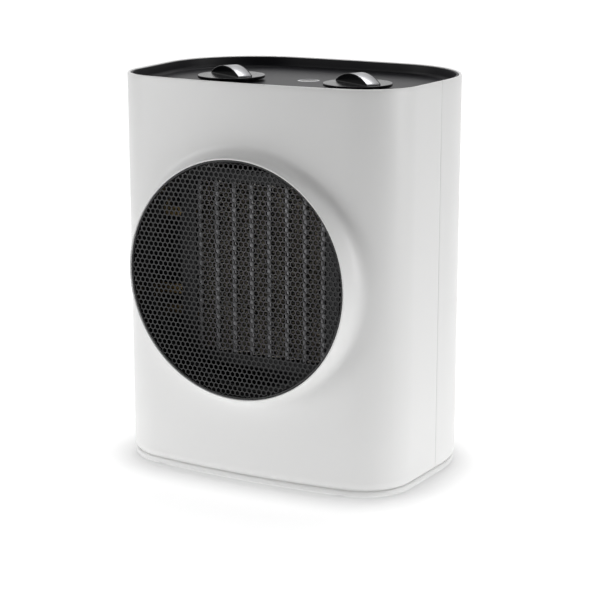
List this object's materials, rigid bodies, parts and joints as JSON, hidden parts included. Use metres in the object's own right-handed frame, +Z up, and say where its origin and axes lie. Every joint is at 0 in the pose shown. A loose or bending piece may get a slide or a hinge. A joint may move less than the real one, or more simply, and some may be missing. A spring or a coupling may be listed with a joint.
{
  "type": "ceramic space heater",
  "caption": "Upright white ceramic fan heater with a bowed face, a round flared honeycomb air outlet and a recessed black top panel with turning knobs.",
  "frame": {"origin": "Centre of the footprint on the surface the heater stands on, at the bottom centre of the bounding box.", "axes": "+Z up the body, -Y out of the air outlet towards the user, +X towards the thermostat knob, on the right as seen from the front."},
  "size_m": [0.2028, 0.156, 0.2518],
  "materials": {
    "shell_white": "satin moulded plastic",
    "panel_black": "smooth black plastic",
    "knob_black": "glossy black plastic",
    "inlay_silver": "satin plated plastic strip",
    "grille_black": "black painted punched steel",
    "window_clear": "frosted light grey plastic",
    "lamp_glass": "orange glass",
    "switch_plastic": "dark phenolic plastic",
    "laminate": "brown paper laminate",
    "nylon_ivory": "natural nylon",
    "brass_contact": "tinned brass strip",
    "steatite": "unglazed steatite",
    "bright_steel": "zinc plated steel",
    "core_resin": "heat-proof black resin",
    "aluminium_bar": "bright extruded aluminium",
    "aluminium_fin": "heat-dulled aluminium sheet",
    "heating_stone": "dark sintered ceramic",
    "cutout_resin": "black phenolic plastic",
    "fuse_body": "small ceramic fuse body",
    "electrical_steel": "stacked electrical steel",
    "copper_wire": "enamelled copper winding",
    "bronze_bearing": "sintered bronze",
    "cable_pvc": "blue insulated lead",
    "soft_rubber": "soft dark rubber"
  },
  "bodies": {
    "housing": {"front_shell": "shell_white", "rear_shell": "shell_white", "base_plate": "shell_white", "control_panel": "panel_black", "front_grille": "grille_black", "selector_switch": "switch_plastic", "switch_cover": "laminate", "switch_terminals": "brass_contact", "thermostat_base": "steatite", "bimetal_strip": "bright_steel", "contact_arm": "brass_contact", "switch_screws": "bright_steel", "lamp_window": "window_clear", "pilot_lamp": "lamp_glass", "heater_frame": "core_resin", "heater_bars": "aluminium_bar", "heater_fins": "aluminium_fin", "ceramic_stones": "heating_stone", "heater_terminals": "brass_contact", "clamp_spring": "bright_steel", "sensor_strap": "bright_steel", "overheat_cutout": "cutout_resin", "thermal_fuse": "fuse_body", "air_duct": "core_resin", "duct_screws": "bright_steel", "stator_core": "electrical_steel", "coil_bobbin": "nylon_ivory", "motor_coil": "copper_wire", "front_bracket": "bright_steel", "rear_bracket": "bright_steel", "motor_bearings": "bronze_bearing", "motor_mount": "bright_steel", "mount_screws": "bright_steel", "motor_screws": "bright_steel", "motor_nuts": "bright_steel", "tip_switch": "switch_plastic", "tip_spring": "bright_steel", "terminal_block": "nylon_ivory", "terminal_screws": "brass_contact", "cord_gland": "soft_rubber", "inner_leads": "cable_pvc", "rubber_feet": "soft_rubber", "shell_screws": "bright_steel", "base_screws": "bright_steel"},
    "selector": {"selector_knob": "knob_black", "selector_inlay": "inlay_silver", "selector_cam": "nylon_ivory"},
    "thermostat": {"thermostat_knob": "knob_black", "thermostat_inlay": "inlay_silver", "thermostat_shaft": "bright_steel"},
    "impeller": {"fan": "core_resin", "fan_clip": "bright_steel", "motor_shaft": "bright_steel", "rotor": "electrical_steel"},
    "plunger": {"tip_plunger": "nylon_ivory"}
  },
  "joints": [
    {"name": "selector_turn", "type": "hinge", "parent": "housing", "child": "selector", "pos_m": [-0.045, -0.002, 0.246], "axis": [0, 0, 1], "range_deg": [-135, 0]},
    {"name": "thermostat_turn", "type": "hinge", "parent": "housing", "child": "thermostat", "pos_m": [0.045, -0.002, 0.246], "axis": [0, 0, 1], "range_deg": [-270, 0]},
    {"name": "fan_spin", "type": "hinge", "parent": "housing", "child": "impeller", "pos_m": [0, 0, 0.131], "axis": [0, -1, 0], "continuous": true},
    {"name": "tip_plunge", "type": "slide", "parent": "housing", "child": "plunger", "axis": [0, 0, -1], "range_m": [0, 0.005], "stiffness_N_per_m": 120, "springref_m": 0.012, "deforming": ["tip_spring"]}
  ]
}
